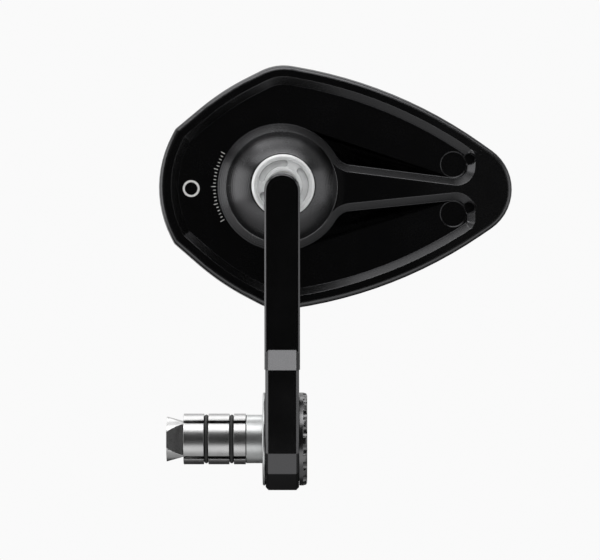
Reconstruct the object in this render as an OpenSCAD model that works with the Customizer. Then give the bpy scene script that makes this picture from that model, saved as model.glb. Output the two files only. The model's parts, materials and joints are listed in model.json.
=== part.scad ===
// Motorcycle bar end mirror, in millimetres.
// +X is outboard along the handlebar, +Y is toward the rider and +Z is up.
// The origin is on the bar's axis, on the inboard face of the adapter's flange, where the bar's end rests.

/* [Mirror head] */
// Length of the head from its blunt tail to its tip
head_l = 125.8; // [121:0.1:132]
// Height of the head
head_h = 86.8; // [84:0.1:94]
// Thickness of the housing from its rim to the land round the pocket
plate_t = 7.2; // [6.6:0.1:8]
// Depth of the pocket in the back of the housing
pocket_depth = 2.4; // [2:0.1:3]
// Width that the sloping pocket wall covers
wall_run = 2.6; // [2:0.1:2.8]
// Width of the rounded outer edge
edge_round = 1.8; // [1.2:0.1:2.2]
// Width of the flat land between the rounded edge and the pocket
land_w = 2.3; // [1.8:0.1:2.8]
// Diameter of the boss at the land's level
boss_d = 40; // [38:0.5:42]
// Width of the rib where its sides would meet the ball's centre line
rib_root_w = 16.6; // [15:0.2:18]
// Angle at which each side of the rib closes toward the tip
rib_taper = 6.45; // [5.6:0.05:6.6]
// Thickness of the mirror glass
glass_t = 1.8; // [1.5:0.1:2]

/* [Ball joint] */
// Diameter of the ball
ball_d = 13; // [12:0.5:13.5]
// Outer diameter of the silver socket ring
ring_d = 22.3; // [22:0.1:24]
// Distance from the ball's centre to the arm
stud_reach = 10.5; // [10:0.1:12]
// Diameter of the stud's neck behind the ball
neck_d = 5.5; // [4.5:0.1:5.5]
// Diameter of the stud's threaded shank
stud_d = 6; // [5:0.5:7]

/* [Arm] */
// Distance from the bar's axis to the stud's axis
arm_h = 89.4; // [82:0.2:100]
// Width of the arm's bar
arm_w = 12.5; // [12:0.1:13.5]
// Thickness of the arm's bar
arm_t = 8; // [7.5:0.1:9]
// Width of the eye at the lower end of the arm
eye_w = 11.85; // [11:0.05:11.9]
// Half the depth of the eye's block, from the bar's axis to its flat faces
eye_reach = 17.3; // [17:0.1:19]
// Chamfer along the arm's edges
arm_chamfer = 0.6; // [0.4:0.1:1.1]
// Angle at which the arm leans away from the rider
arm_lean = 7; // [0:0.5:10]

/* [Bar end] */
// Diameter of the adapter's flange and of the end cap
bar_end_d = 33; // [32:0.2:34]
// Diameter of the spigot that the eye turns on
spigot_d = 21.9; // [21:0.1:22.5]
// Diameter of the pilot that enters the bar
pilot_d = 17.2; // [16.8:0.1:18.4]
// Length of the pilot
pilot_l = 6; // [5:0.5:8]
// Thickness of the adapter's flange
flange_t = 1; // [0.8:0.1:1.4]
// Thickness of the end cap's disc
cap_t = 2.8; // [2.5:0.1:4]
// Number of scallops round the cap's edge
cap_scallops = 16; // [12:1:20]
// Diameter of the cap bolt
bolt_d = 6; // [5:0.5:6]
// Length of the expander segments
segment_l = 22; // [20:0.5:26]
// Outer diameter of the segments when they are spread
segment_d = 18; // [17.8:0.1:18.8]
// Slope of the ramps, as rise over run
ramp = 0.3; // [0.25:0.01:0.32]
// Travel of the nut from loose to tight
nut_draw = 3; // [2:0.1:3.5]

/* [Attitude] */
// Angle by which the head's back faces outboard
head_yaw = 4; // [0:0.5:8]
// Angle by which the head's back faces up
head_pitch = 1.5; // [0:0.5:4]
// Angle by which the head's tip hangs below level
head_turn = 1; // [0:0.5:3]

/* [Hidden] */
$fn = 96;

// Overlap used where one shape is cut from or joined to another
lap = 0.5;
// Clearance on the radius between a turning piece and its seat
run_gap = 0.05;

// Ball joint, from the ball's centre outward
ball_r = ball_d / 2;
ball_gap = 0.03;
seat_wall = 0.87;
seat_in_r = ball_r + ball_gap;
seat_out_r = seat_in_r + seat_wall;
socket_r = seat_out_r + ball_gap;
seat_edge_h = 1.4;
seat_top_h = 4.6;
seat_mouth_r = 5;
neck_r = neck_d / 2;
stud_r = stud_d / 2;
stud_flange_t = 1.5;
stud_flange_af = 8;
stud_depth = 5.8;
stud_hole_depth = 6.3;

// Heights along the head's axis, from the ball's centre, positive away from the rider
spring_room = 0.7;
web_t = 1;
pad_t = 0.3;
glass_set_back = 0.2;
spring_seat_h = -(seat_out_r + spring_room);
recess_h = spring_seat_h - web_t;
glass_back_h = recess_h - pad_t;
glass_front_h = glass_back_h - glass_t;
rim_h = glass_front_h - glass_set_back;
land_h = rim_h + plate_t;
floor_h = land_h - pocket_depth;

// Boss, dome and socket ring
boss_r = boss_d / 2;
dome_ledge = 0.15;
dome_foot_r = boss_r - dome_ledge;
ring_r = ring_d / 2;
ring_gap = 0.3;
ring_sink = 1;
ring_recess_r = ring_r + ring_gap;
ring_seat_h = 3.13;
dome_edge_h = ring_seat_h + ring_sink;
dome_rise = dome_edge_h - land_h;
dome_step = (pow(dome_foot_r, 2) - pow(ring_recess_r, 2)) / dome_rise;
dome_centre_h = (dome_edge_h + land_h - dome_step) / 2;
dome_r = norm([dome_foot_r, land_h - dome_centre_h]);
ring_flange_t = 1.8;
ring_chamfer = 0.8;
ring_rim_w = 0.9;
ring_dish = 0.6;
skirt_r = ring_r - 1.05;
skirt_end_h = -1.2;
skirt_room = 0.8;
thread_gap = 0.1;
seat_bore_r = seat_out_r + 0.6;
collar_r = 6.2;
collar_h = 1.3;
mouth_r = 5.15;
kidney_r = 7.9;
kidney_w = 2.3;
kidney_depth = 1;
kidney_sweep = 75;
kidney_centres = [4, 124, 244];

// Outline of the head seen from behind: right, up, radius and steps of each corner, from the ball's centre.
// The corners are laid out for one length and height and stretched to the head's own.
laid_out = [125.8, 86.8];
stretch = [head_l / laid_out.x, head_h / laid_out.y];
tip_corner = [95.4, 0, 17, 14];
tail_corner = [-48.3, 0, 39.5, 12];
upper_corners = [[41.2, 37.4, 160, 12], [-2.3, 44.1, 18, 8], [-21.5, 34.2, 88, 10], [-37.8, 20.3, 3, 4]];
least_r = 1.5;
corner_room = 1.5;

function stretched(c) = [c.x * stretch.x, c.y * stretch.y, c.z, c[3]];
function mirrored(c) = [c.x, -c.y, c.z, c[3]];
function xy(c) = [c.x, c.y];
function unit(v) = v / norm(v);
function left_of(v) = [-v.y, v.x];
function at(list, i) = list[(i + len(list)) % len(list)];
function arc(centre, r, first, last, steps) =
    [for (i = [0:steps]) let (a = first + (last - first) * i / steps) centre + r * [cos(a), sin(a)]];
function without_ends(list) = [for (i = [1:len(list) - 2]) list[i]];

// Corner i of a closed chain, moved inward by t, with the radius that keeps its rounding parallel
function inset_corner(chain, i, t) =
    let (
        n1 = left_of(unit(xy(chain[i]) - xy(at(chain, i - 1)))),
        n2 = left_of(unit(xy(at(chain, i + 1)) - xy(chain[i]))),
        p = xy(chain[i]) + t * (n1 + n2) / (1 + n1 * n2),
        r = chain[i].z + (cross(n1, n2) > 0 ? -t : t)
    )
    [p.x, p.y, max(r, least_r), chain[i][3]];
function inset_chain(chain, t) = [for (i = [0:len(chain) - 1]) inset_corner(chain, i, t)];

// Points that round corner b between its neighbours a and c
function rounding(a, b, c) =
    let (
        d1 = unit(xy(a) - xy(b)),
        d2 = unit(xy(c) - xy(b)),
        half = acos(d1 * d2) / 2,
        centre = xy(b) + unit(d1 + d2) * b.z / sin(half),
        start = xy(b) + d1 * b.z / tan(half) - centre,
        first = atan2(start.y, start.x),
        turn = (180 - 2 * half) * sign(cross(-d1, d2))
    )
    arc(centre, b.z, first, first + turn, b[3]);
function rounded(chain) =
    [for (i = [0:len(chain) - 1]) each rounding(at(chain, i - 1), chain[i], at(chain, i + 1))];

// Length of side that the rounding of corner b takes up, between its neighbours a and c
function run_out(a, b, c) = b.z / tan(acos(unit(xy(a) - xy(b)) * unit(xy(c) - xy(b))) / 2);

// The chain with smaller radii where a side has too little room for both of its roundings
function eased(chain) =
    let (
        runs = [for (i = [0:len(chain) - 1]) run_out(at(chain, i - 1), chain[i], at(chain, i + 1))],
        sides = [for (i = [0:len(chain) - 1]) norm(xy(at(chain, i + 1)) - xy(chain[i])) - corner_room],
        shares = [for (i = [0:len(chain) - 1]) sides[i] / (runs[i] + at(runs, i + 1))]
    )
    [for (i = [0:len(chain) - 1])
        let (c = chain[i]) [c.x, c.y, c.z * min(1, shares[i], at(shares, i - 1)), c[3]]];

upper = [for (c = upper_corners) stretched(c)];
outline = eased(concat(
    [stretched(tip_corner)],
    upper,
    [stretched(tail_corner)],
    [for (i = [len(upper) - 1:-1:0]) mirrored(upper[i])]
));
function outline_ring(t) = rounded(inset_chain(outline, t));

// Pocket: a loop round the boss, whose rib sides run to a square end near the tip
pocket_margin = edge_round + land_w;
pocket_end_u = 69.1 * stretch.x;
rib_end_r = 6.7;
lobe_end_r = 4;
rib_fillet_r = 9;
rib_root = rib_root_w / 2;
rib_end_w = rib_root - pocket_end_u * tan(rib_taper);
inner = inset_chain(outline, pocket_margin);
edge_slope = (inner[1].y - inner[0].y) / (inner[1].x - inner[0].x);
lobe_end_w = inner[0].y + edge_slope * (pocket_end_u - inner[0].x);
rib_end = [pocket_end_u, rib_end_w, rib_end_r, 8];
lobe_end = [pocket_end_u, lobe_end_w, lobe_end_r, 5];
pocket_chain = concat(
    [[0, -rib_root, 1, 0], [0, rib_root, 1, 0], rib_end, lobe_end],
    [for (i = [1:len(inner) - 1]) inner[i]],
    [mirrored(lobe_end), mirrored(rib_end)]
);
fillet_across = rib_fillet_r + rib_root * cos(rib_taper);
fillet_along = sqrt(pow(boss_r + rib_fillet_r, 2) - pow(fillet_across, 2));
fillet_centre = [
    fillet_along * cos(rib_taper) + fillet_across * sin(rib_taper),
    fillet_across * cos(rib_taper) - fillet_along * sin(rib_taper)
];
fillet_start = atan2(fillet_centre.y, fillet_centre.x) + 180;
fillet_end = 270 - rib_taper;

// The pocket's loop moved inward by t: the rib's lower fillet, round the boss, the upper fillet and the tip
function pocket_ring(t) =
    let (
        chain = inset_chain(pocket_chain, t),
        last = len(chain) - 1,
        r = rib_fillet_r - t
    )
    concat(
        arc([fillet_centre.x, -fillet_centre.y], r, -fillet_end, -fillet_start, 6),
        without_ends(arc([0, 0], boss_r + t, 180 - fillet_start, fillet_start - 540, 60)),
        arc(fillet_centre, r, fillet_start, fillet_end, 6),
        [for (i = [2:last]) each rounding(chain[i - 1], chain[i], at(chain, i + 1))]
    );

// Round features in the lobes' ends: right, up and radius of each
lobe_dimple = [61.5 * stretch.x, 8.8, 4.6];
dimple_depth = 0.5;
end_bites = [[67.2 * stretch.x, 10.8, 2.1], [67.2 * stretch.x, -6.5, 2.1]];
bite_depth = 0.3;

// Glass and its bond pad
recess_margin = 1.6;
glass_gap = 0.15;
pad_margin = 7;
edge_steps = 5;
edge_drop = 1.9;
rim_chamfer = 0.4;

// Disc spring between the housing and the rear seat
spring_in_r = 3;
spring_out_r = 6;
spring_t = 0.5;
spring_tip_h = -(sqrt(seat_out_r * seat_out_r - spring_in_r * spring_in_r) + ball_gap);

// Bar end stack along X
flange_r = bar_end_d / 2;
pilot_r = pilot_d / 2;
spigot_r = spigot_d / 2;
eye_x = flange_t + run_gap;
eye_end_x = eye_x + eye_w;
cap_x = eye_end_x + run_gap;
cap_end_x = cap_x + cap_t;
cap_band_w = 1.35;
arm_x = (eye_x + eye_end_x) / 2;
spigot_end_x = eye_end_x - 1.5;
spigot_bore_r = 7.4;
spigot_floor_x = 4.5;
hub_r = spigot_bore_r - 0.2;
hub_x = spigot_floor_x + 1;
bolt_r = bolt_d / 2;
bolt_hole_r = bolt_r + 0.3;
washer_x = hub_x + 2;
washer_t = 1;
washer_r = 5.2;
head_x = washer_x + washer_t;
head_r = 5;
head_len = 6;
head_socket_af = 5;
head_socket_depth = 3;
counterbore_r = 5.4;
slip_t = 0.4;
slip_in_r = spigot_r + 0.35;
slip_out_r = 14.8;

// Expander
segment_r = segment_d / 2;
segment_x = -pilot_l;
segment_end_x = segment_x - segment_l;
segment_lift = ramp * nut_draw;
segment_bore_r = bolt_r + segment_lift + 0.3;
segment_slit = sqrt(2) * segment_lift + 0.25;
nut_x = segment_end_x + 5.5;
nut_l = 11.5;
nut_end_x = nut_x - nut_l;
nut_inset = 0.7;
nut_r = segment_r - nut_inset;
nut_flat = bolt_r + 1.4;
ramp_gap = 0.05;
ring_wire_r = 0.7;
groove_depth = 1.8;
groove_w = 1.6;
groove_xs = [segment_x - 5, segment_end_x + 8];

// Arm, in the frame that leans with it
arm_front_y = -12;
arm_back_y = arm_front_y + arm_t;
ball_y = arm_back_y + stud_reach;
bar_overlap = 9.2;
bar_start_z = eye_reach + bar_overlap;
eye_bore_r = spigot_r + run_gap;
eye_chamfer = 1;
// Side view of the eye's block: back and up from the bar's axis, anticlockwise as seen from inboard
block = [
    [-eye_reach + 2.1, -9.9],
    [-6.3, -eye_reach],
    [6.3, -eye_reach],
    [eye_reach - 2.1, -9.9],
    [eye_reach, -2.4],
    [eye_reach, 5],
    [arm_back_y, 40],
    [arm_front_y, 33.6],
    [-eye_reach, 27.2],
    [-eye_reach, -2.4]
];

// Frame of the bar's axis: local Z along +X
module along_bar() {
    rotate([0, 90, 0]) children();
}

// Frame of the stud: the origin at the ball's centre, local Z toward the arm
module at_stud() {
    rotate([arm_lean, 0, 0]) translate([arm_x, ball_y, arm_h]) rotate([90, 0, 0]) children();
}

// Frame of the head: the origin at the ball's centre, local Z out of the head's back
module in_head() {
    rotate([arm_lean, 0, 0]) translate([arm_x, ball_y, arm_h])
        rotate([0, 0, head_yaw]) rotate([90 - arm_lean - head_pitch, 0, 0])
            rotate([0, 0, -head_turn]) children();
}

// Solid through rings of equal length at rising heights
module loft(rings, heights) {
    n = len(rings[0]);
    top = len(rings) - 1;
    points = [for (k = [0:top]) each [for (p = rings[k]) [p.x, p.y, heights[k]]]];
    sides = [
        for (k = [0:top - 1]) for (i = [0:n - 1])
            let (a = k * n + i, b = k * n + (i + 1) % n)
            each [[a + n, b + n, b], [a + n, b, a]]
    ];
    polyhedron(points, concat([[for (i = [0:n - 1]) i]], sides, [[for (i = [n - 1:-1:0]) top * n + i]]));
}

// Tube or disc along local Z
module tube(outer, bore, from, to) {
    translate([0, 0, from]) difference() {
        cylinder(r = outer, h = to - from);
        if (bore > 0) translate([0, 0, -lap]) cylinder(r = bore, h = to - from + 2 * lap);
    }
}

// Slab of the head's outline, moved inward by t
module outline_slab(t, from, to) {
    translate([0, 0, from]) linear_extrude(to - from) polygon(outline_ring(t));
}

// The housing's outer form: a slab with a rounded back edge and a small chamfer at the rim
module housing_form() {
    turns = [for (i = [0:edge_steps]) 90 * i / edge_steps];
    insets = concat([rim_chamfer], [0], [for (a = turns) edge_round * (1 - cos(a))]);
    heights = concat([rim_h], [rim_h + rim_chamfer], [for (a = turns) land_h - edge_drop * (1 - sin(a))]);
    loft([for (t = insets) outline_ring(t)], heights);
}

// What is milled out of the back round the boss
module pocket_form() {
    loft([pocket_ring(wall_run), pocket_ring(0), pocket_ring(0)], [floor_h, land_h, land_h + lap]);
    for (side = [-1, 1])
        translate([lobe_dimple.x, side * lobe_dimple.y, floor_h - dimple_depth])
            cylinder(r = lobe_dimple.z, h = dimple_depth + lap, $fn = 48);
    for (bite = end_bites)
        translate([bite.x, bite.y, floor_h - bite_depth])
            cylinder(r = bite.z, h = bite_depth + pocket_depth + lap, $fn = 20);
}

// The dome on the boss, which rises from inside the land
module dome_form() {
    intersection() {
        translate([0, 0, dome_centre_h]) sphere(r = dome_r, $fn = 128);
        translate([0, 0, floor_h - lap]) cylinder(r = boss_d, h = boss_d);
    }
}

// The milled plate is closed as one surface, at its own size, before it gets the dome and the bores
module mirror_housing() {
    color("#16161a") in_head() difference() {
        union() {
            resize([0, 0, 0]) difference() {
                housing_form();
                pocket_form();
                outline_slab(recess_margin, rim_h - lap, recess_h);
            }
            dome_form();
        }
        translate([0, 0, ring_seat_h]) cylinder(r = ring_recess_r, h = boss_d);
        translate([0, 0, skirt_end_h - skirt_room]) cylinder(r = skirt_r + thread_gap, h = boss_d);
        translate([0, 0, spring_seat_h]) cylinder(r = seat_bore_r, h = boss_d);
    }
}

module mirror_glass() {
    color("#cfd8dc") in_head() outline_slab(recess_margin + glass_gap, glass_front_h, glass_back_h);
}

module glass_bond_pad() {
    color("#303030") in_head() outline_slab(pad_margin, glass_back_h, recess_h);
}

// Turned ring with a chamfered rim, a dished face with three kidney recesses and a raised collar
module socket_ring() {
    ring_top_h = ring_seat_h + ring_flange_t;
    face_h = ring_top_h - ring_dish;
    color("#d8dadd") in_head() difference() {
        union() {
            rotate_extrude() polygon([
                [0, skirt_end_h],
                [skirt_r, skirt_end_h],
                [skirt_r, ring_seat_h],
                [ring_r, ring_seat_h],
                [ring_r, ring_top_h - ring_chamfer],
                [ring_r - ring_chamfer, ring_top_h],
                [ring_r - ring_chamfer - ring_rim_w, ring_top_h],
                [ring_r - ring_chamfer - ring_rim_w - ring_dish / 2, face_h],
                [0, face_h]
            ]);
            tube(collar_r, 0, ring_seat_h, face_h + collar_h);
        }
        sphere(r = socket_r);
        translate([0, 0, skirt_end_h - lap]) cylinder(r = socket_r, h = lap - skirt_end_h);
        cylinder(r = mouth_r, h = boss_d);
        for (a = kidney_centres) rotate([0, 0, a]) translate([0, 0, face_h - kidney_depth]) {
            rotate([0, 0, -kidney_sweep / 2]) rotate_extrude(angle = kidney_sweep)
                translate([kidney_r - kidney_w / 2, 0]) square([kidney_w, collar_h + kidney_depth]);
            for (end = [-1, 1]) rotate([0, 0, end * kidney_sweep / 2])
                translate([kidney_r, 0, 0]) cylinder(r = kidney_w / 2, h = collar_h + kidney_depth, $fn = 32);
        }
    }
}

// Shell between two spheres, from one height to another
module seat_shell(from, to) {
    intersection() {
        difference() {
            sphere(r = seat_out_r);
            sphere(r = seat_in_r);
        }
        translate([0, 0, from]) cylinder(r = seat_out_r + lap, h = to - from);
    }
}

module ball_seat_front() {
    color("ivory") in_head() difference() {
        seat_shell(seat_edge_h, seat_top_h);
        cylinder(r = seat_mouth_r, h = seat_out_r);
    }
}

module ball_seat_rear() {
    color("ivory") in_head() seat_shell(-seat_out_r - lap, -seat_edge_h);
}

// Conical disc spring: its inner edge on the rear seat, its outer edge on the housing
module seat_spring() {
    color("silver") in_head() rotate_extrude() polygon([
        [spring_in_r, spring_tip_h - spring_t],
        [spring_out_r, spring_seat_h],
        [spring_out_r, spring_seat_h + spring_t],
        [spring_in_r, spring_tip_h]
    ]);
}

// Turned in one piece: ball, neck, six-sided flange and threaded shank
module ball_stud() {
    flange_h = stud_reach - stud_flange_t;
    color("#d8dadd") at_stud() union() {
        sphere(r = ball_r);
        cylinder(r = neck_r, h = stud_reach - stud_flange_t / 2);
        translate([0, 0, flange_h]) cylinder(d = stud_flange_af / cos(30), h = stud_flange_t, $fn = 6);
        translate([0, 0, flange_h]) cylinder(r = stud_r, h = stud_flange_t + stud_depth);
    }
}

// Bar with chamfered edges and a round end on the stud's axis
module arm_bar(inset, from, to) {
    r = arm_w / 2 - inset;
    translate([arm_x, to, 0]) rotate([90, 0, 0]) {
        translate([-r, bar_start_z + inset, 0]) cube([2 * r, arm_h - bar_start_z - inset, to - from]);
        translate([0, arm_h, 0]) cylinder(r = r, h = to - from);
    }
}

// Block of the eye as a slab across X, moved inward by t
module block_slab(t, from, to) {
    chain = [for (p = block) [p.x, p.y, 1, 1]];
    points = [for (c = inset_chain(chain, t)) xy(c)];
    translate([from, 0, 0]) rotate([90, 0, 90]) linear_extrude(to - from) polygon(points);
}

module arm() {
    color("#101014") rotate([arm_lean, 0, 0]) difference() {
        union() {
            hull() {
                arm_bar(arm_chamfer, arm_front_y, arm_back_y);
                arm_bar(0, arm_front_y + arm_chamfer, arm_back_y - arm_chamfer);
            }
            hull() {
                block_slab(eye_chamfer, eye_x, eye_end_x);
                block_slab(0, eye_x + eye_chamfer, eye_end_x - eye_chamfer);
            }
        }
        along_bar() cylinder(r = eye_bore_r, h = 3 * eye_w, center = true);
        along_bar() tube(slip_out_r + 0.1, 0, eye_x - lap, flange_t + slip_t);
        along_bar() tube(slip_out_r + 0.1, 0, cap_x - slip_t, eye_end_x + lap);
        translate([arm_x, arm_back_y + lap, arm_h]) rotate([90, 0, 0])
            cylinder(r = stud_r, h = stud_hole_depth + lap);
    }
}

// Turned adapter: pilot for the bar, thin flange, spigot for the eye
module bar_adapter() {
    flange_edge = 0.3;
    color("#9a9ca0") along_bar() rotate_extrude() polygon([
        [bolt_hole_r, -pilot_l],
        [pilot_r - flange_edge, -pilot_l],
        [pilot_r, -pilot_l + flange_edge],
        [pilot_r, 0],
        [flange_r - flange_edge, 0],
        [flange_r, flange_edge],
        [flange_r, flange_t - flange_edge],
        [flange_r - flange_edge, flange_t],
        [spigot_r, flange_t],
        [spigot_r, spigot_end_x - flange_edge],
        [spigot_r - flange_edge, spigot_end_x],
        [spigot_bore_r, spigot_end_x],
        [spigot_bore_r, spigot_floor_x],
        [bolt_hole_r, spigot_floor_x]
    ]);
}

// Scalloped disc with a hub that centres it in the adapter's spigot
module bar_end_cap() {
    edge = 1.1;
    scallop_r = 2.6;
    color("#16161a") along_bar() difference() {
        rotate_extrude() polygon([
            [bolt_hole_r, hub_x],
            [hub_r, hub_x],
            [hub_r, cap_x],
            [flange_r, cap_x],
            [flange_r, cap_x + cap_band_w],
            [flange_r - edge * 0.3, cap_end_x - edge * 0.3],
            [flange_r - edge, cap_end_x],
            [counterbore_r, cap_end_x],
            [counterbore_r, washer_x],
            [bolt_hole_r, washer_x]
        ]);
        for (i = [0:cap_scallops - 1]) rotate([0, 0, 360 * (i + 0.5) / cap_scallops])
            translate([flange_r + scallop_r * 0.6, 0, cap_x + cap_band_w])
                cylinder(r = scallop_r, h = cap_t, $fn = 32);
    }
}

module cap_bolt() {
    color("#b8babd") along_bar() difference() {
        union() {
            translate([0, 0, nut_end_x + lap]) cylinder(r = bolt_r, h = head_x - nut_end_x);
            tube(head_r, 0, head_x, head_x + head_len);
        }
        translate([0, 0, head_x + head_len - head_socket_depth])
            cylinder(d = head_socket_af / cos(30), h = head_len, $fn = 6);
    }
}

module bolt_washer() {
    color("silver") along_bar() tube(washer_r, bolt_r + 0.2, washer_x, washer_x + washer_t);
}

module eye_washer_inner() {
    color("dimgray") along_bar() tube(slip_out_r, slip_in_r, flange_t, flange_t + slip_t);
}

module eye_washer_outer() {
    color("dimgray") along_bar() tube(slip_out_r, slip_in_r, cap_x - slip_t, cap_x);
}

// Half the nut's width at a place x along the bar
function nut_half(x) = nut_flat + ramp * (nut_x - x);

// Side view of the nut's ramp as a slab across the other direction
module ramp_slab() {
    translate([0, nut_r + lap, 0]) rotate([90, 0, 0]) linear_extrude(2 * (nut_r + lap)) polygon([
        [-nut_half(nut_end_x), nut_end_x],
        [nut_half(nut_end_x), nut_end_x],
        [nut_half(nut_x), nut_x],
        [-nut_half(nut_x), nut_x]
    ]);
}

module taper_nut() {
    color("#b8babd") along_bar() difference() {
        intersection() {
            tube(nut_r, 0, nut_end_x, nut_x);
            ramp_slab();
            rotate([0, 0, 90]) ramp_slab();
        }
        translate([0, 0, nut_end_x - lap]) cylinder(r = bolt_r + run_gap, h = nut_l + 2 * lap);
    }
}

// One quarter of a split sleeve, spread outward by its ramp
module segment(turn) {
    ramp_end_x = nut_x + 1;
    notch = segment_slit / sqrt(2);
    color("#a8aaae") along_bar() rotate([0, 0, turn]) difference() {
        intersection() {
            tube(segment_r, segment_bore_r, segment_end_x, segment_x);
            translate([0, 0, segment_end_x]) linear_extrude(segment_l) polygon([
                [notch, 0],
                [notch + 2 * segment_r, -2 * segment_r],
                [notch + 2 * segment_r, 2 * segment_r]
            ]);
        }
        translate([0, segment_r, 0]) rotate([90, 0, 0]) linear_extrude(2 * segment_r) polygon([
            [0, segment_end_x - lap],
            [nut_half(segment_end_x - lap) + ramp_gap, segment_end_x - lap],
            [nut_half(ramp_end_x) + ramp_gap, ramp_end_x],
            [0, ramp_end_x]
        ]);
        for (x = groove_xs)
            tube(segment_r + lap, segment_r - groove_depth, x - groove_w / 2, x + groove_w / 2);
    }
}

module expander_segment_1() {
    segment(0);
}

module expander_segment_2() {
    segment(90);
}

module expander_segment_3() {
    segment(180);
}

module expander_segment_4() {
    segment(270);
}

module o_ring(x) {
    color("#202020") along_bar() translate([0, 0, x]) rotate_extrude()
        translate([segment_r - groove_depth + ring_wire_r + run_gap, 0]) circle(r = ring_wire_r, $fn = 24);
}

module segment_o_ring_inner() {
    o_ring(groove_xs[0]);
}

module segment_o_ring_outer() {
    o_ring(groove_xs[1]);
}

mirror_housing();
mirror_glass();
glass_bond_pad();
socket_ring();
ball_seat_front();
ball_seat_rear();
seat_spring();
ball_stud();
arm();
bar_adapter();
bar_end_cap();
cap_bolt();
bolt_washer();
eye_washer_inner();
eye_washer_outer();
taper_nut();
expander_segment_1();
expander_segment_2();
expander_segment_3();
expander_segment_4();
segment_o_ring_inner();
segment_o_ring_outer();
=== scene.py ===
import bmesh
import bpy
import json
import math
from mathutils import Matrix, Vector


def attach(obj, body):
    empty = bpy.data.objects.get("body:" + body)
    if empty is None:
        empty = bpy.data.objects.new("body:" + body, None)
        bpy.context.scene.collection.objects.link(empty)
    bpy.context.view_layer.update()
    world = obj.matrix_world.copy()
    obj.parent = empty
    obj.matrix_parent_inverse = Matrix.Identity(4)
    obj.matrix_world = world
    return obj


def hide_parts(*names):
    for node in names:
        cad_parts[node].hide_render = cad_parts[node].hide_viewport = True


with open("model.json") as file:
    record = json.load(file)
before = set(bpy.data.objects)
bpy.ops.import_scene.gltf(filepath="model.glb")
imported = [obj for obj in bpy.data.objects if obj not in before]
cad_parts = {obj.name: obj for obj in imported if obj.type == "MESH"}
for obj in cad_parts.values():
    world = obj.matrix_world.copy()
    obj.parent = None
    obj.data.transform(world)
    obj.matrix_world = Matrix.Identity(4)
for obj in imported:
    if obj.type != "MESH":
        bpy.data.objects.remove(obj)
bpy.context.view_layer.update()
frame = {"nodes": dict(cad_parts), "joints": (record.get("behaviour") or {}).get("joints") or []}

nodes = frame["nodes"]
joints = {joint["name"]: joint for joint in frame["joints"]}
MM = 0.001

# Camera
# The picture looks square to the bar, along +Y, through a long lens, in a frame that is 213 mm wide at the
# bar's axis. The mirror's head stands in the upper middle and the bar's end at the lower left.
SHOT_CENTRE = Vector((13.2 * MM, 0.0, 56.4 * MM))
SHOT_DISTANCE = 1.2
SHOT_WIDTH = 212.9 * MM
SENSOR_WIDTH = 36.0
NEAREST_SEEN = 0.05
FARTHEST_SEEN = 20.0

camera_data = bpy.data.cameras.new("camera")
camera_data.sensor_width = SENSOR_WIDTH
camera_data.lens = SENSOR_WIDTH * SHOT_DISTANCE / SHOT_WIDTH
camera_data.clip_start = NEAREST_SEEN
camera_data.clip_end = FARTHEST_SEEN
camera = bpy.data.objects.new("camera", camera_data)
camera.location = SHOT_CENTRE - Vector((0.0, SHOT_DISTANCE, 0.0))
camera.rotation_euler = (math.radians(90), 0.0, 0.0)
bpy.context.scene.collection.objects.link(camera)
bpy.context.scene.camera = camera
bpy.context.scene.view_settings.view_transform = "Standard"

# Studio
# A surround that is white on the rider's side and darkens toward the camera, so that black faces turned to
# it stay black. Two soft boxes and a long strip hang overhead, a panel stands at each side, one hangs high on
# the camera's side, and a pale floor lies well below the mirror.
BACKGROUND = (0.955, 0.955, 0.955, 1.0)
FRONT_LEVEL = 0.03
ROOM_FRONT_TO_BACK = (-0.55, 0.2)
ROOM_LEFT_TO_RIGHT = (-0.8, 0.9)
ROOM_LEFT_LEVEL = 0.9
ROOM_RIGHT_LEVEL = 0.45
LAMP_TARGET = Vector((0.02, 0.0, 0.06))
FLOOR_DROP = 0.30
FLOOR_RADIUS = 1.2
FLOOR_WHITE = (0.8, 0.8, 0.8, 1.0)
FLOOR_NEAR_TO_FAR = (0.45, 1.1)
SHADOW_FREE_NEAR = 0.75
SHADOW_FREE_FAR = 1.0
CARD_START = (-0.8, -0.5)
CARD_BELOW_MIRROR = (-0.26, -0.12)
CARD_END = (0.02, 0.16)
CARD_LEVEL = 1.25
CARD_LEVEL_BELOW = 0.5
CARD_SHARE_BEHIND = 0.08


def node_tree(owner):
    """The empty node tree of a material or world."""
    owner.use_nodes = True
    tree = owner.node_tree
    tree.nodes.clear()
    return tree


def wire(tree, socket, value):
    """A link into a socket where the value is another node's socket, or else the plain value."""
    if isinstance(value, bpy.types.NodeSocket):
        tree.links.new(value, socket)
    else:
        socket.default_value = value


def place(tree, kind, settings=None, **inputs):
    """A new node with its settings, and values or links for its named inputs."""
    made = tree.nodes.new(kind)
    for key, value in (settings or {}).items():
        setattr(made, key, value)
    for key, value in inputs.items():
        wire(tree, made.inputs[key.replace("_", " ")], value)
    return made


def reckon(tree, operation, first, second=0.0, clamp=False):
    """One step of arithmetic on two values or sockets."""
    made = place(tree, "ShaderNodeMath", {"operation": operation, "use_clamp": clamp})
    wire(tree, made.inputs[0], first)
    wire(tree, made.inputs[1], second)
    return made.outputs[0]


def ramp_between(tree, value, low, high, at_low=0.0, at_high=1.0):
    """A value carried from one range to another with soft ends."""
    return place(
        tree, "ShaderNodeMapRange", {"interpolation_type": "SMOOTHSTEP"},
        Value=value, From_Min=low, From_Max=high, To_Min=at_low, To_Max=at_high
    ).outputs[0]


def choose(tree, share, first, second):
    """Two shaders mixed by a share."""
    mix = place(tree, "ShaderNodeMixShader")
    for socket, value in zip(mix.inputs, (share, first.outputs[0], second.outputs[0])):
        wire(tree, socket, value)
    return mix


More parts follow.
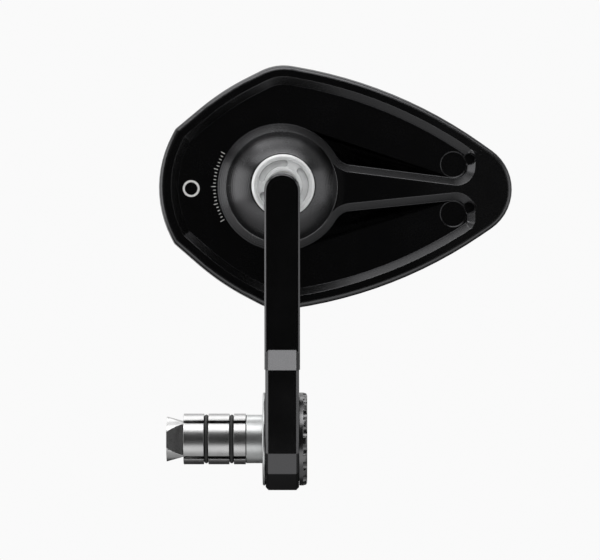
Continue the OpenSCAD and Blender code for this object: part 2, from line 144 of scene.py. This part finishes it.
def shown_by_ray(tree, lit, plain, mirrored, plain_share=1.0):
    """A plain shader for the camera, another for reflections, and the lit one for all other light."""
    path = place(tree, "ShaderNodeLightPath")
    seen = reckon(tree, "ADD", path.outputs["Is Camera Ray"], path.outputs["Is Transmission Ray"], True)
    direct = choose(tree, reckon(tree, "MULTIPLY", seen, plain_share), lit, plain)
    return choose(tree, path.outputs["Is Glossy Ray"], direct, mirrored)


world = bpy.data.worlds.new("studio")
bpy.context.scene.world = world
tree = node_tree(world)
where = place(tree, "ShaderNodeTexCoord")
side = place(tree, "ShaderNodeSeparateXYZ", Vector=where.outputs["Generated"])
white_behind = ramp_between(tree, side.outputs["Y"], *ROOM_FRONT_TO_BACK)
across_room = ramp_between(tree, side.outputs["X"], *ROOM_LEFT_TO_RIGHT, ROOM_LEFT_LEVEL, ROOM_RIGHT_LEVEL)
white_side = reckon(tree, "MULTIPLY", white_behind, across_room)
room = place(tree, "ShaderNodeBackground", Color=reckon(tree, "ADD", white_side, FRONT_LEVEL))
seen = place(tree, "ShaderNodeBackground", Color=BACKGROUND)
place(tree, "ShaderNodeOutputWorld", Surface=shown_by_ray(tree, room, seen, room).outputs[0])


def soft_box(name, location, size, brightness):
    """A rectangular lamp turned to the mirror, whose face is as many times as bright as white paper."""
    data = bpy.data.lights.new(name, "AREA")
    data.shape = "RECTANGLE"
    data.size, data.size_y = size
    data.energy = brightness * math.pi * size[0] * size[1]
    lamp = bpy.data.objects.new(name, data)
    lamp.location = location
    lamp.rotation_euler = (LAMP_TARGET - Vector(location)).to_track_quat("-Z", "Y").to_euler()
    bpy.context.scene.collection.objects.link(lamp)


soft_box("overhead", location=(-0.05, 0.4, 1.05), size=(1.2, 0.8), brightness=1.6)
soft_box("overhead_fill", location=(-0.05, -0.2, 1.05), size=(1.2, 0.36), brightness=0.9)
soft_box("front_strip", location=(0.0, -0.52, 1.0), size=(1.8, 0.24), brightness=3.4)
soft_box("left_panel", location=(-1.05, -0.28, 0.2), size=(0.8, 0.9), brightness=1.6)
soft_box("right_panel", location=(1.05, -0.36, 0.15), size=(0.9, 0.9), brightness=1.1)
soft_box("camera_panel", location=(0.0, -0.85, 0.95), size=(1.0, 0.4), brightness=2.6)

# A round floor. Glossy faces see it as a bright card that dims below the mirror and ends behind it
floor_mesh = bmesh.new()
bmesh.ops.create_circle(floor_mesh, cap_ends=True, segments=96, radius=FLOOR_RADIUS)
bmesh.ops.translate(floor_mesh, verts=floor_mesh.verts, vec=(0.0, 0.0, -FLOOR_DROP))
floor_data = bpy.data.meshes.new("floor")
floor_mesh.to_mesh(floor_data)
floor_mesh.free()
floor = bpy.data.objects.new("floor", floor_data)
bpy.context.scene.collection.objects.link(floor)
pale = bpy.data.materials.new("pale_floor")
tree = node_tree(pale)
where = place(tree, "ShaderNodeTexCoord")
side = place(tree, "ShaderNodeSeparateXYZ", Vector=where.outputs["Object"])
distance = place(tree, "ShaderNodeVectorMath", {"operation": "LENGTH"}, Vector=where.outputs["Object"])
plain_share = ramp_between(
    tree, distance.outputs["Value"], *FLOOR_NEAR_TO_FAR, SHADOW_FREE_NEAR, SHADOW_FREE_FAR
)
started = ramp_between(tree, side.outputs["Y"], *CARD_START)
below = ramp_between(tree, side.outputs["Y"], *CARD_BELOW_MIRROR, CARD_LEVEL, CARD_LEVEL_BELOW)
ended = ramp_between(tree, side.outputs["Y"], *CARD_END, 1.0, CARD_SHARE_BEHIND)
card = reckon(tree, "MULTIPLY", reckon(tree, "MULTIPLY", started, below), ended)
lit = place(tree, "ShaderNodeBsdfDiffuse", Color=FLOOR_WHITE)
plain = place(tree, "ShaderNodeEmission", Color=BACKGROUND)
mirrored = place(tree, "ShaderNodeEmission", Color=BACKGROUND, Strength=card)
shown = shown_by_ray(tree, lit, plain, mirrored, plain_share)
place(tree, "ShaderNodeOutputMaterial", Surface=shown.outputs[0])
floor_data.materials.append(pale)


# Mirror housing
# One block of aluminium, milled on both sides, blasted and anodised satin black. Its back has a sloping
# pocket round a turned boss, whose dome holds the ball joint. The colour carries painted shade on the flat
# faces of the back, fading out toward the tip, and is darker on the pocket's floor and below it. A painted
# highlight makes it paler where the edges are broken.
ball = Vector(joints["head_pan"]["pos_m"])
LEAN = math.atan2(-joints["head_roll"]["axis"][2], -joints["head_roll"]["axis"][1])
QUARTER_TURN = math.radians(90)
HEAD_YAW = math.radians(4.0)
HEAD_PITCH = math.radians(1.5)
HEAD_TURN = math.radians(1.0)
LAND_H = -4.2 * MM
POCKET_DEPTH = 2.4 * MM
FLOOR_H = LAND_H - POCKET_DEPTH
BOSS_FOOT_R = 22.6 * MM
BOSS_FOOT_ROUND = 0.6 * MM
TIP_SHADE_START = 40.0 * MM
TIP_SHADE_END = 62.0 * MM
FLAT_FACING = (0.95, 0.995)
FLOOR_EDGE_START = FLOOR_H + 0.1 * MM
FLOOR_EDGE_END = FLOOR_H + 0.5 * MM
FLOOR_EDGE_SHARE = 0.85
HOUSING_EDGE = 0.16 * MM
head_turn = (
    Matrix.Rotation(LEAN, 3, "X")
    @ Matrix.Rotation(HEAD_YAW, 3, "Z")
    @ Matrix.Rotation(QUARTER_TURN - LEAN - HEAD_PITCH, 3, "X")
    @ Matrix.Rotation(-HEAD_TURN, 3, "Z")
)
head_frame = Matrix.Translation(ball) @ head_turn.to_4x4()
head_axes = head_turn.to_euler()

MERGE_REACH = 0.003 * MM
ONE_PLANE = math.radians(0.3)
LARGE_FLAT = 40.0 * MM * MM
LARGER_FACE_LEADS = 100


def finished_copy(node, body, material, broken=0.0, sharp=30, rounds=2, whole_faces=True):
    """A merged copy of a CAD node with smooth curves, flat flats and broken edges, which stands for it."""
    mesh = nodes[node].data.copy()
    shape = bmesh.new()
    shape.from_mesh(mesh)
    bmesh.ops.remove_doubles(shape, verts=shape.verts, dist=MERGE_REACH)
    if whole_faces:
        bmesh.ops.dissolve_limit(
            shape, angle_limit=ONE_PLANE, verts=shape.verts, edges=shape.edges, delimit={"NORMAL"}
        )
    shape.to_mesh(mesh)
    shape.free()
    mesh.name = node + "_finished"
    mesh.materials.clear()
    mesh.materials.append(material)
    mesh.shade_smooth()
    for face in mesh.polygons:
        face.material_index = 0
        face.use_smooth = face.area < LARGE_FLAT
    piece = bpy.data.objects.new(node + "_finished", mesh)
    bpy.context.scene.collection.objects.link(piece)
    if broken:
        edges = piece.modifiers.new("broken_edges", "BEVEL")
        edges.width = broken
        edges.segments = rounds
        edges.limit_method = "ANGLE"
        edges.angle_limit = math.radians(sharp)
        edges.use_clamp_overlap = False
    else:
        mesh.set_sharp_from_angle(angle=math.radians(sharp))
    shading = piece.modifiers.new("flat_faces_stay_flat", "WEIGHTED_NORMAL")
    shading.weight = LARGER_FACE_LEADS
    shading.keep_sharp = True
    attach(piece, body)
    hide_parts(node)
    return piece


def effect_group(name, inputs, outputs):
    """A shader node group with named number and vector inputs and number outputs."""
    group = bpy.data.node_groups.new(name, "ShaderNodeTree")
    for title, start in inputs.items():
        kind = "NodeSocketVector" if start is None else "NodeSocketFloat"
        made = group.interface.new_socket(name=title, in_out="INPUT", socket_type=kind)
        if start is not None:
            made.default_value = start
    for title in outputs:
        group.interface.new_socket(name=title, in_out="OUTPUT", socket_type="NodeSocketFloat")
    return group, group.nodes.new("NodeGroupInput").outputs, group.nodes.new("NodeGroupOutput").inputs


def use_group(tree, group, **inputs):
    """A group set in a material, with values or links for its inputs."""
    return place(tree, "ShaderNodeGroup", {"node_tree": group}, **inputs).outputs


def radius_from_axis(tree, parts):
    """The distance from the local Z axis, from a separated place."""
    square = [reckon(tree, "POWER", parts.outputs[axis], 2.0) for axis in ("X", "Y")]
    return reckon(tree, "SQRT", reckon(tree, "ADD", *square))


# Blasted or moulded grain: a roughness that wanders, and a height for fine bumps
BROAD_GRAIN = 90.0
satin_grain, given, result = effect_group(
    "satin_grain",
    {"Vector": None, "Fineness": 4000.0, "Roughness": 0.3, "Spread": 0.05},
    ["Roughness", "Height"]
)
fine = place(satin_grain, "ShaderNodeTexNoise", Vector=given["Vector"], Scale=given["Fineness"], Detail=3.0)
broad = place(satin_grain, "ShaderNodeTexNoise", Vector=given["Vector"], Scale=BROAD_GRAIN, Detail=4.0)
both = reckon(satin_grain, "ADD", fine.outputs["Fac"], broad.outputs["Fac"])
swing = reckon(satin_grain, "MULTIPLY", reckon(satin_grain, "SUBTRACT", both, 1.0), given["Spread"])
wire(satin_grain, result["Roughness"], reckon(satin_grain, "ADD", given["Roughness"], swing))
wire(satin_grain, result["Height"], fine.outputs["Fac"])

# Turned rings round the local Z axis, out to a reach
turning_marks, given, result = effect_group(
    "turning_marks", {"Vector": None, "Pitch": 0.5 * MM, "Reach": 50.0 * MM}, ["Height"]
)
spread = place(turning_marks, "ShaderNodeSeparateXYZ", Vector=given["Vector"])
radius = radius_from_axis(turning_marks, spread)
turns = reckon(turning_marks, "DIVIDE", radius, given["Pitch"])
wave = reckon(turning_marks, "SINE", reckon(turning_marks, "MULTIPLY", turns, 2 * math.pi))
inside = reckon(turning_marks, "LESS_THAN", radius, given["Reach"])
wire(turning_marks, result["Height"], reckon(turning_marks, "MULTIPLY", wave, inside))

# Painted highlight: a paler colour along broken edges, where they would catch the light, fainter in patches
EDGE_TURN = (0.85, 0.995)
HIGHLIGHT_PATCHES = (0.25, 0.6)
FAINTEST_HIGHLIGHT = 0.55
painted_edge_highlight, given, result = effect_group(
    "painted_edge_highlight", {"Width": 0.3 * MM, "Fineness": 900.0, "Vector": None}, ["Mask"]
)
rounded_normal = place(painted_edge_highlight, "ShaderNodeBevel", {"samples": 4}, Radius=given["Width"])
true_normal = place(painted_edge_highlight, "ShaderNodeNewGeometry")
meeting = place(painted_edge_highlight, "ShaderNodeVectorMath", {"operation": "DOT_PRODUCT"})
wire(painted_edge_highlight, meeting.inputs[0], rounded_normal.outputs[0])
wire(painted_edge_highlight, meeting.inputs[1], true_normal.outputs["Normal"])
edge = ramp_between(painted_edge_highlight, meeting.outputs["Value"], *EDGE_TURN, 1.0, 0.0)
patchy = place(painted_edge_highlight, "ShaderNodeTexNoise", Vector=given["Vector"], Scale=given["Fineness"], Detail=2.0)
patches = ramp_between(painted_edge_highlight, patchy.outputs["Fac"], *HIGHLIGHT_PATCHES, FAINTEST_HIGHLIGHT, 1.0)
wire(painted_edge_highlight, result["Mask"], reckon(painted_edge_highlight, "MULTIPLY", edge, patches))

# Painted shade: darkening in inside corners, taken from ambient occlusion
CORNER_OPENNESS = (0.45, 0.9)
corner_shade, given, result = effect_group("corner_shade", {"Reach": 0.5 * MM}, ["Mask"])
open_sky = place(corner_shade, "ShaderNodeAmbientOcclusion", {"samples": 8}, Distance=given["Reach"])
wire(corner_shade, result["Mask"], ramp_between(
    corner_shade, open_sky.outputs["AO"], *CORNER_OPENNESS, 1.0, 0.0
))


def grained_finish(name, colour, metallic, roughness, fineness, spread, centre=(0, 0, 0), axes=(0, 0, 0)):
    """A material whose roughness wanders with a grain, seen from a piece's own centre and axes."""
    material = bpy.data.materials.new(name)
    tree = node_tree(material)
    shader = place(
        tree, "ShaderNodeBsdfPrincipled", Base_Color=(*colour, 1.0), Metallic=metallic, Roughness=roughness
    )
    place(tree, "ShaderNodeOutputMaterial", Surface=shader.outputs[0])
    where = place(tree, "ShaderNodeTexCoord")
    here = place(
        tree, "ShaderNodeMapping", {"vector_type": "TEXTURE"},
        Vector=where.outputs["Object"], Location=centre, Rotation=axes
    ).outputs[0]
    grain = use_group(tree, satin_grain, Vector=here, Fineness=fineness, Roughness=roughness, Spread=spread)
    wire(tree, shader.inputs["Roughness"], grain["Roughness"])
    return material, tree, shader, here, grain["Height"]


def raise_bumps(tree, shader, height, depth):
    """Feeds a height through a bump node to the shader's normal."""
    bump = place(tree, "ShaderNodeBump", Height=height, Distance=depth, Strength=1.0)
    wire(tree, shader.inputs["Normal"], bump.outputs[0])


def blend_colours(tree, share, first, second):
    """A colour between two, by a share that changes over the surface."""
    mix = place(tree, "ShaderNodeMix", {"data_type": "RGBA"}, Factor=share)
    for socket, colour in (("A", first), ("B", second)):
        wire(tree, mix.inputs[socket], (*colour, 1.0) if isinstance(colour, tuple) else colour)
    return mix.outputs["Result"]


BLACK_DYE = (0.07, 0.07, 0.072)
# Colour of the painted shade on the back's flats, also used for the darker pocket floor
FLAT_SHADE_AND_FLOOR_DARK = (0.042, 0.042, 0.044)
# Colour of the painted highlight on broken edges
EDGE_HIGHLIGHT_PAINT = (0.25, 0.25, 0.255)
EDGE_HIGHLIGHT_WIDTH = 0.28 * MM
BLASTED_DEPTH = 0.004 * MM


def black_finish(name, centre, axes, pitch, reach, marks, roughness=0.26, colour=BLACK_DYE):
    """Satin black anodising with grain, turned rings within a reach, and a painted highlight on its edges."""
    material, tree, shader, here, grain = grained_finish(
        name, colour, 1.0, roughness, fineness=5200.0, spread=0.07, centre=centre, axes=axes
    )
    rings = use_group(tree, turning_marks, Vector=here, Pitch=pitch, Reach=reach)
    highlit_edges = use_group(tree, painted_edge_highlight, Width=EDGE_HIGHLIGHT_WIDTH, Vector=here)
    height = reckon(tree, "ADD", reckon(tree, "MULTIPLY", rings["Height"], marks), grain)
    raise_bumps(tree, shader, height, BLASTED_DEPTH)
    # Painted highlight: the colour turns paler along the broken edges
    dye_and_edge_highlight = blend_colours(tree, highlit_edges["Mask"], colour, EDGE_HIGHLIGHT_PAINT)
    wire(tree, shader.inputs["Base Color"], dye_and_edge_highlight)
    return material, tree, shader, here, dye_and_edge_highlight


housing_black, tree, shader, here, dye_and_edge_highlight = black_finish(
    "black_anodised_housing", ball, head_axes, pitch=0.62 * MM, reach=BOSS_FOOT_R, marks=2.2
)
along_head = place(tree, "ShaderNodeSeparateXYZ", Vector=here)
# Painted shade: flat faces turned along the head's back axis are darkened, fading out toward the tip and off
# the dome
off_tip = ramp_between(tree, along_head.outputs["X"], TIP_SHADE_START, TIP_SHADE_END, 1.0, 0.0)
outward = place(tree, "ShaderNodeTexCoord")
facing = place(tree, "ShaderNodeVectorMath", {"operation": "DOT_PRODUCT"}, Vector=outward.outputs["Normal"])
facing.inputs[1].default_value = head_turn @ Vector((0.0, 0.0, 1.0))
flat = ramp_between(tree, facing.outputs["Value"], *FLAT_FACING)
from_ball = radius_from_axis(tree, along_head)
off_boss = ramp_between(tree, from_ball, BOSS_FOOT_R - BOSS_FOOT_ROUND, BOSS_FOOT_R)
painted_flat_shade = reckon(tree, "MULTIPLY", reckon(tree, "MULTIPLY", off_tip, flat), off_boss)
# The colour is also darker on the pocket's floor and below it
low = ramp_between(tree, along_head.outputs["Z"], FLOOR_EDGE_START, FLOOR_EDGE_END, FLOOR_EDGE_SHARE, 0.0)
shade_and_dark_floor = reckon(tree, "MAXIMUM", painted_flat_shade, low)
wire(tree, shader.inputs["Base Color"], blend_colours(tree, shade_and_dark_floor, dye_and_edge_highlight, FLAT_SHADE_AND_FLOOR_DARK))
finished_copy("mirror_housing", "head", housing_black, broken=HOUSING_EDGE)


# Printed marks
# White pad-printed marks on the pocket's floor: a plain ring near the tail, and an arc of ticks beside the
# boss by which the head's angle can be noted. The ink lies a hair above the anodising, thin in places.
INK = (0.82, 0.82, 0.8)
THIN_INK = (0.6, 0.6, 0.59)
SPECKLE = 6000.0
THIN_PLACES = (0.55, 0.75)
INK_H = FLOOR_H + 0.02 * MM
RING_PLACE = Vector((-32.0 * MM, -0.8 * MM, INK_H))
RING_OUTER_R = 3.0 * MM
RING_LINE = 0.75 * MM
TICK_INNER_R = 23.3 * MM
TICK_L = 0.9 * MM
LONG_TICK_L = 1.5 * MM
TICK_W = 0.2 * MM
TICK_FIRST = 150
TICK_LAST = 210
TICK_STEP = 3
TICKS_A_LONG_ONE = 5

white_ink, tree, shader, here, grain = grained_finish(
    "white_ink", INK, metallic=0.0, roughness=0.5, fineness=9000.0, spread=0.1
)
speckle = place(tree, "ShaderNodeTexNoise", Vector=here, Scale=SPECKLE, Detail=2.0)
thin = ramp_between(tree, speckle.outputs["Fac"], *THIN_PLACES)
wire(tree, shader.inputs["Base Color"], blend_colours(tree, thin, INK, THIN_INK))

marks = bmesh.new()
rim = bmesh.ops.create_circle(marks, cap_ends=True, segments=48, radius=RING_OUTER_R)["verts"]
disc = rim[0].link_faces[0]
bmesh.ops.inset_region(
    marks, faces=[disc], thickness=RING_LINE, depth=0.0, use_even_offset=True, use_boundary=True
)
bmesh.ops.delete(marks, geom=[disc], context="FACES_ONLY")
bmesh.ops.translate(marks, verts=marks.verts, vec=RING_PLACE)
for number, degrees in enumerate(range(TICK_FIRST, TICK_LAST + 1, TICK_STEP)):
    length = TICK_L if number % TICKS_A_LONG_ONE else LONG_TICK_L
    turn = Matrix.Rotation(math.radians(degrees), 3, "Z")
    tick = bmesh.ops.create_grid(marks, x_segments=1, y_segments=1, size=0.5)["verts"]
    bmesh.ops.scale(marks, verts=tick, vec=(length, TICK_W, 1.0))
    bmesh.ops.translate(marks, verts=tick, vec=(TICK_INNER_R + length / 2, 0.0, INK_H))
    bmesh.ops.rotate(marks, verts=tick, cent=(0.0, 0.0, 0.0), matrix=turn)
bmesh.ops.transform(marks, matrix=head_frame, verts=marks.verts)
marks_data = bpy.data.meshes.new("printed_marks")
marks.to_mesh(marks_data)
marks.free()
marks_data.materials.append(white_ink)
printed_marks = bpy.data.objects.new("printed_marks", marks_data)
bpy.context.scene.collection.objects.link(printed_marks)
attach(printed_marks, "head")


# Mirror glass and its bond pad
# Flat float glass, silvered on its rear face and cut to the housing's recess, with a fine ground edge. A
# sheet of black foam tape holds it.
GLASS_EDGE = 0.25 * MM
GLASS_FACING = 0.9


def rough_finish(name, colour, roughness, fineness, spread, depth):
    """A dull, finely grained surface, such as ground glass, foam, moulded plastic or rubber."""
    material, tree, shader, here, grain = grained_finish(name, colour, 0.0, roughness, fineness, spread)
    raise_bumps(tree, shader, grain, depth)
    return material


silvering = grained_finish(
    "silvered_glass", (0.86, 0.88, 0.89), metallic=1.0, roughness=0.02, fineness=700.0, spread=0.012
)[0]
ground_edge = rough_finish(
    "ground_glass_edge", (0.42, 0.5, 0.47), roughness=0.45, fineness=7000.0, spread=0.15, depth=0.01 * MM
)
glass = finished_copy("mirror_glass", "head", silvering, broken=GLASS_EDGE, rounds=1)
glass.data.materials.append(ground_edge)
toward_rider = head_turn @ Vector((0.0, 0.0, -1.0))
for face in glass.data.polygons:
    face.material_index = 0 if face.normal.dot(toward_rider) > GLASS_FACING else 1
glass.modifiers["broken_edges"].material = 1

tape = rough_finish(
    "foam_tape", (0.03, 0.03, 0.03), roughness=0.85, fineness=2500.0, spread=0.1, depth=0.05 * MM
)
finished_copy("glass_bond_pad", "head", tape)


# Socket ring
# Turned aluminium, bead blasted and clear anodised, with painted shade in its corners. Its three kidney
# recesses take a pin spanner that screws it down on the front seat.
SILVER = (0.86, 0.87, 0.87)
CLOUDED_SHARE = 0.93
CLOUDS = (0.35, 0.65)
# Colour of the painted shade in inside corners
CORNER_PAINTED_SHADE = (0.12, 0.12, 0.12)
CORNER_REACH = 0.45 * MM
SILVER_PITCH = 0.21 * MM
SILVER_MARKS = 0.25
SILVER_DEPTH = 0.008 * MM


def shade_of(colour, share):
    """A colour made darker or paler by a share."""
    return tuple(part * share for part in colour)


def silver_finish(name, centre, axes, roughness, metallic=0.2, colour=SILVER):
    """Clear anodised or plain aluminium with a fine grain, faint turned rings and painted shade in corners.
    """
    material, tree, shader, here, grain = grained_finish(
        name, colour, metallic, roughness, fineness=3600.0, spread=0.12, centre=centre, axes=axes
    )
    rings = use_group(tree, turning_marks, Vector=here, Pitch=SILVER_PITCH)
    height = reckon(tree, "ADD", grain, reckon(tree, "MULTIPLY", rings["Height"], SILVER_MARKS))
    raise_bumps(tree, shader, height, SILVER_DEPTH)
    cloud = place(tree, "ShaderNodeTexNoise", Vector=here, Scale=420.0, Detail=3.0)
    clear = ramp_between(tree, cloud.outputs["Fac"], *CLOUDS)
    clean = blend_colours(tree, clear, shade_of(colour, CLOUDED_SHARE), colour)
    corner = use_group(tree, corner_shade, Reach=CORNER_REACH)
    # Painted shade: the colour turns dark in inside corners
    wire(tree, shader.inputs["Base Color"], blend_colours(tree, corner["Mask"], clean, CORNER_PAINTED_SHADE))
    return material


ring_silver = silver_finish("silver_anodised_ring", ball, head_axes, roughness=0.42)
finished_copy("socket_ring", "head", ring_silver, broken=0.07 * MM, whole_faces=False)


# Ball seats and their spring
# Two cups of turned white acetal grip the ball, and a conical steel disc spring behind the rear one keeps the
# grip even as they wear.
ACETAL_GLOW = 0.08
ACETAL_GLOW_REACH = (2.0 * MM, 2.0 * MM, 2.0 * MM)
STRAW = (0.44, 0.42, 0.4)
BLUED = (0.56, 0.57, 0.6)
acetal, tree, shader, here, grain = grained_finish(
    "white_acetal", (0.84, 0.83, 0.79), metallic=0.0, roughness=0.4, fineness=1800.0, spread=0.1,
    centre=ball, axes=head_axes
)
shader.inputs["Subsurface Weight"].default_value = ACETAL_GLOW
shader.inputs["Subsurface Radius"].default_value = ACETAL_GLOW_REACH
rings = use_group(tree, turning_marks, Vector=here, Pitch=0.12 * MM)
raise_bumps(tree, shader, rings["Height"], 0.002 * MM)
for end in ("front", "rear"):
    finished_copy("ball_seat_" + end, "ball_seats", acetal)

spring_steel, tree, shader, here, grain = grained_finish(
    "spring_steel", (0.5, 0.5, 0.51), metallic=1.0, roughness=0.3, fineness=2200.0, spread=0.1,
    centre=ball, axes=head_axes
)
tempered = place(tree, "ShaderNodeTexNoise", Vector=here, Scale=300.0, Detail=3.0)
wire(tree, shader.inputs["Base Color"], blend_colours(tree, tempered.outputs["Fac"], STRAW, BLUED))
finished_copy("seat_spring", "head", spring_steel, broken=0.06 * MM)


# Ball stud
# Ball, neck, spanner flats and threaded shank turned from one stainless bar and finished satin. The shank is
# screwed and glued into the arm.
STEEL = (0.76, 0.76, 0.77)
STEEL_PITCH = 0.17 * MM
STEEL_DEPTH = 0.0012 * MM


def steel_finish(name, centre, axes, roughness, metallic=1.0):
    """Turned stainless steel."""
    material, tree, shader, here, grain = grained_finish(
        name, STEEL, metallic, roughness, fineness=2600.0, spread=0.08, centre=centre, axes=axes
    )
    rings = use_group(tree, turning_marks, Vector=here, Pitch=STEEL_PITCH)
    raise_bumps(tree, shader, rings["Height"], STEEL_DEPTH)
    cloud = place(tree, "ShaderNodeTexNoise", Vector=here, Scale=260.0, Detail=2.0)
    wire(tree, shader.inputs["Base Color"], blend_colours(
        tree, cloud.outputs["Fac"], shade_of(STEEL, 0.9), shade_of(STEEL, 1.1)
    ))
    return material


stud_axes = (Matrix.Rotation(LEAN, 3, "X") @ Matrix.Rotation(QUARTER_TURN, 3, "X")).to_euler()
stud_steel = steel_finish("satin_stainless_stud", ball, stud_axes, roughness=0.32, metallic=0.3)
finished_copy("ball_stud", "ball_stud", stud_steel, broken=0.1 * MM)


# Arm
# Cut from aluminium plate on a mill and anodised black with the housing: a flat bar with small chamfers, a
# round end on the stud's axis, and a deeper block below that is the eye round the bar's end.
ON_BAR = (0.0, 0.0, 0.0)
ALONG_BAR = (0.0, QUARTER_TURN, 0.0)
arm_black = black_finish(
    "black_anodised_arm", ON_BAR, ALONG_BAR, pitch=0.45 * MM, reach=18.0 * MM, marks=0.0, roughness=0.2
)[0]
finished_copy("arm", "arm", arm_black, broken=0.13 * MM, sharp=10)


# Bar end stack
# The adapter's pilot enters the bar and its spigot carries the eye between two thin slip washers. The
# scalloped black cap closes the stack, and a socket head bolt in its counterbore pulls everything together.
CAP_DYE = (0.13, 0.13, 0.132)
ADAPTER_SILVER = (0.55, 0.56, 0.56)
cap_black = black_finish(
    "black_anodised_cap", ON_BAR, ALONG_BAR,
    pitch=0.3 * MM, reach=17.0 * MM, marks=0.5, roughness=0.24, colour=CAP_DYE
)[0]
finished_copy("bar_end_cap", "bar_mount", cap_black, broken=0.12 * MM)
adapter_silver = silver_finish(
    "silver_anodised_adapter", ON_BAR, ALONG_BAR, roughness=0.34, metallic=0.9, colour=ADAPTER_SILVER
)
finished_copy("bar_adapter", "bar_mount", adapter_silver, broken=0.08 * MM)
bolt_steel = steel_finish("turned_stainless_bolt", ON_BAR, ALONG_BAR, roughness=0.3)
finished_copy("cap_bolt", "bar_mount", bolt_steel, broken=0.15 * MM)
finished_copy("bolt_washer", "bar_mount", bolt_steel, broken=0.08 * MM)

slip_plastic = rough_finish(
    "filled_slip_plastic", (0.1, 0.1, 0.1), roughness=0.5, fineness=3000.0, spread=0.12, depth=0.01 * MM
)
for end in ("inner", "outer"):
    finished_copy("eye_washer_" + end, "bar_mount", slip_plastic)


# Expander
# The bolt draws a four-sided taper nut into four quarter sleeves of plain machined aluminium, which spread
# and grip the bar's bore. Two rubber rings in their grooves keep the quarters together.
PLAIN_ALUMINIUM = (0.5, 0.5, 0.5)
SEGMENTS = 4
plain_aluminium = silver_finish(
    "plain_machined_aluminium", ON_BAR, ALONG_BAR, roughness=0.3, metallic=1.0, colour=PLAIN_ALUMINIUM
)
finished_copy("taper_nut", "taper_nut", plain_aluminium, broken=0.1 * MM)
for number in range(1, SEGMENTS + 1):
    quarter = f"segment_{number}"
    finished_copy("expander_" + quarter, quarter, plain_aluminium, broken=0.12 * MM)

rubber = rough_finish(
    "black_rubber", (0.02, 0.02, 0.02), roughness=0.6, fineness=2400.0, spread=0.12, depth=0.01 * MM
)
for end in ("inner", "outer"):
    finished_copy("segment_o_ring_" + end, "bar_mount", rubber)
